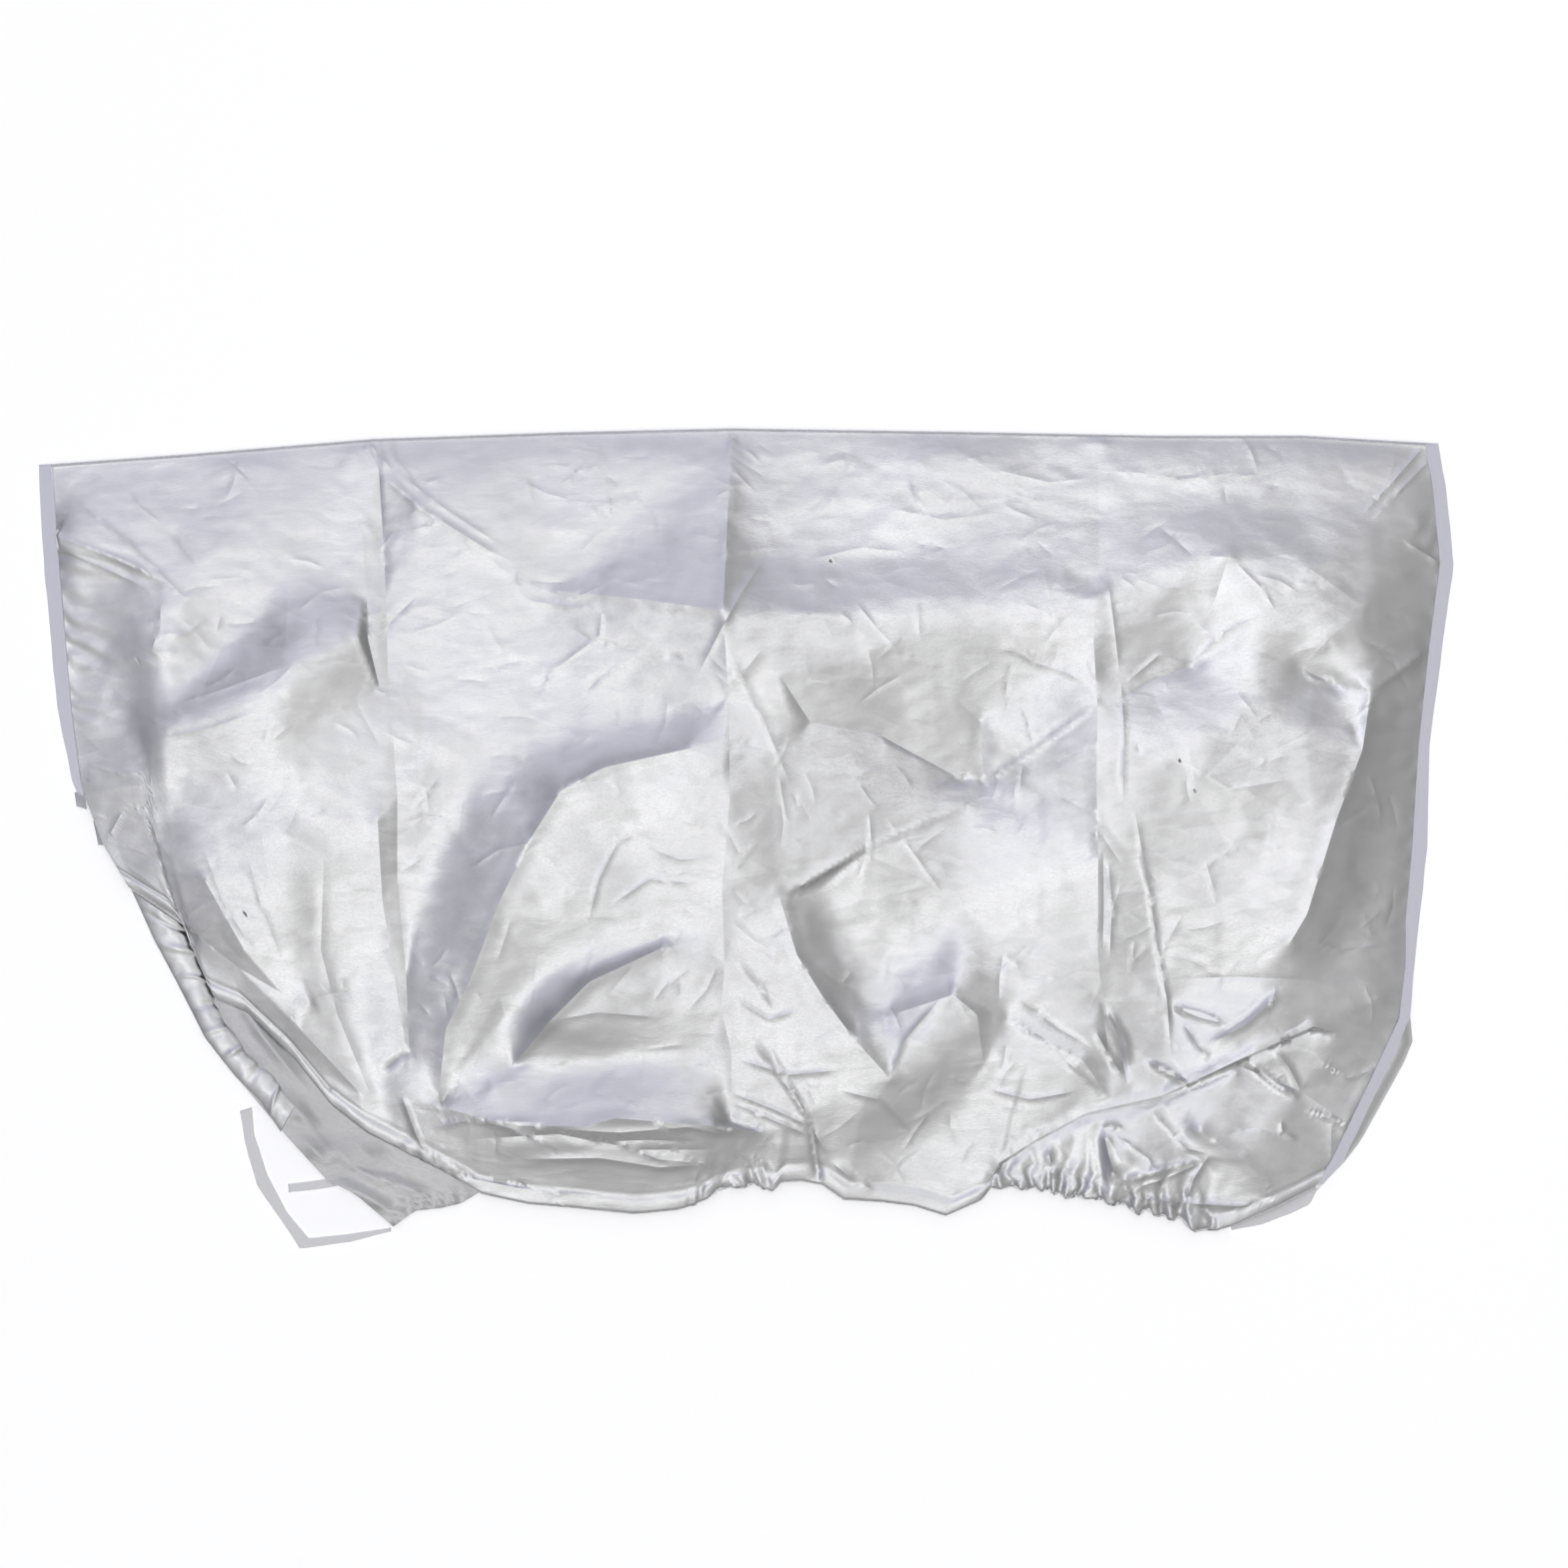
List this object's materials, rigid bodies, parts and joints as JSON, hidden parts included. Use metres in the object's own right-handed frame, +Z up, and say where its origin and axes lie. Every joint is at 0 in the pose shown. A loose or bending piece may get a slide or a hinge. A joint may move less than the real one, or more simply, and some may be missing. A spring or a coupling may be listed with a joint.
{
  "type": "air conditioner cover",
  "caption": "Silver cloth cover for a wall air conditioner, lying flat and crumpled, folded along its top, with bound side seams, a gathered mouth and a clear end film.",
  "frame": {"origin": "on the surface the cover lies on, under the middle of its outline", "axes": "+X along the top fold, +Y from the gathered mouth to the top fold, +Z up from the surface"},
  "size_m": [1.0691, 0.6189, 0.0369],
  "materials": {
    "silver_cloth": "satin metal-coated woven cloth",
    "binding_tape": "matt woven bias tape",
    "clear_film": "clear soft film"
  },
  "bodies": {
    "root": {"cover_cloth": "silver_cloth", "side_binding_left": "binding_tape", "side_binding_right": "binding_tape", "end_film_left": "clear_film", "film_binding_left": "binding_tape", "film_strap_left": "binding_tape", "end_binding_right": "binding_tape"}
  },
  "joints": []
}
